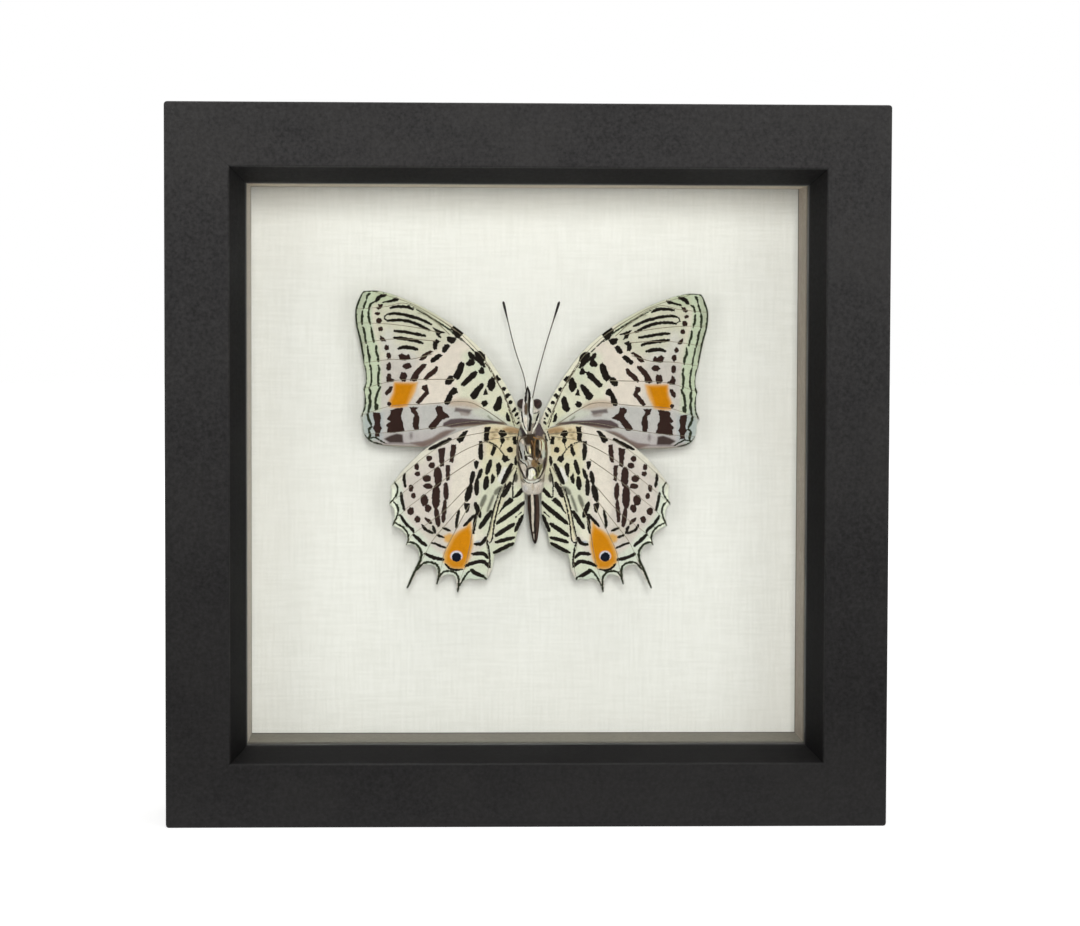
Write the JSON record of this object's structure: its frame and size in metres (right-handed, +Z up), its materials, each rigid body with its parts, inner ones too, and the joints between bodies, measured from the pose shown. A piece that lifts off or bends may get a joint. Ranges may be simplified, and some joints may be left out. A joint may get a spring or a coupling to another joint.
{
  "type": "butterfly display case",
  "caption": "Square shadow-box frame with bevelled black mitred rails, a glazed front and a mounted butterfly on off-white backing, closed by turn buttons.",
  "frame": {"origin": "middle of the bottom rail's underside, at half the depth of the rails", "axes": "+Z up along the case's height, +Y from the glass towards the back, +X to the right seen from the front"},
  "size_m": [0.1524, 0.0367, 0.1524],
  "materials": {
    "black_painted_wood": "satin charcoal paint over wood",
    "clear_glass": "clear polished glass",
    "white_spacer_board": "matt off-white strip board",
    "white_linen_paper": "off-white paper with a fine laid texture",
    "foam_board": "matt white",
    "brown_hardboard": "smooth hardboard",
    "polished_brass": "lightly aged brass",
    "zinc_steel": "zinc plated",
    "soft_clear_rubber": "soft matt",
    "white_foam": "matt closed-cell foam",
    "wing_membrane": "matt wing scales with dark markings",
    "insect_body": "short brown and pale hair",
    "insect_eye": "glossy dark brown",
    "insect_limb": "matt dark brown"
  },
  "bodies": {
    "case": {"rail_top": "black_painted_wood", "rail_bottom": "black_painted_wood", "rail_left": "black_painted_wood", "rail_right": "black_painted_wood", "corner_v_nails": "zinc_steel", "glass_pane": "clear_glass", "spacer_top": "white_spacer_board", "spacer_bottom": "white_spacer_board", "spacer_left": "white_spacer_board", "spacer_right": "white_spacer_board", "mount_paper": "white_linen_paper", "mount_board": "foam_board", "back_panel": "brown_hardboard", "turn_button_screws": "zinc_steel", "sawtooth_hanger": "zinc_steel", "hanger_nails": "zinc_steel", "wall_bumpers": "soft_clear_rubber", "specimen_riser": "white_foam", "forewing_left": "wing_membrane", "forewing_right": "wing_membrane", "hindwing_left": "wing_membrane", "hindwing_right": "wing_membrane", "thorax": "insect_body", "abdomen": "insect_body", "head": "insect_body", "eye_left": "insect_eye", "eye_right": "insect_eye", "antenna_left": "insect_limb", "antenna_right": "insect_limb", "palp_left": "insect_body", "palp_right": "insect_body", "legs": "insect_limb"},
    "turn_button_upper_left": {"turn_button_upper_left": "polished_brass"},
    "turn_button_lower_left": {"turn_button_lower_left": "polished_brass"},
    "turn_button_upper_right": {"turn_button_upper_right": "polished_brass"},
    "turn_button_lower_right": {"turn_button_lower_right": "polished_brass"}
  },
  "joints": [
    {"name": "turn_button_upper_left_turn", "type": "hinge", "parent": "case", "child": "turn_button_upper_left", "pos_m": [-0.07057, 0.0176, 0.1142], "axis": [0, 1, 0], "continuous": true},
    {"name": "turn_button_lower_left_turn", "type": "hinge", "parent": "case", "child": "turn_button_lower_left", "pos_m": [-0.07057, 0.0176, 0.0382], "axis": [0, 1, 0], "continuous": true},
    {"name": "turn_button_upper_right_turn", "type": "hinge", "parent": "case", "child": "turn_button_upper_right", "pos_m": [0.07057, 0.0176, 0.1142], "axis": [0, 1, 0], "continuous": true},
    {"name": "turn_button_lower_right_turn", "type": "hinge", "parent": "case", "child": "turn_button_lower_right", "pos_m": [0.07057, 0.0176, 0.0382], "axis": [0, 1, 0], "continuous": true}
  ]
}
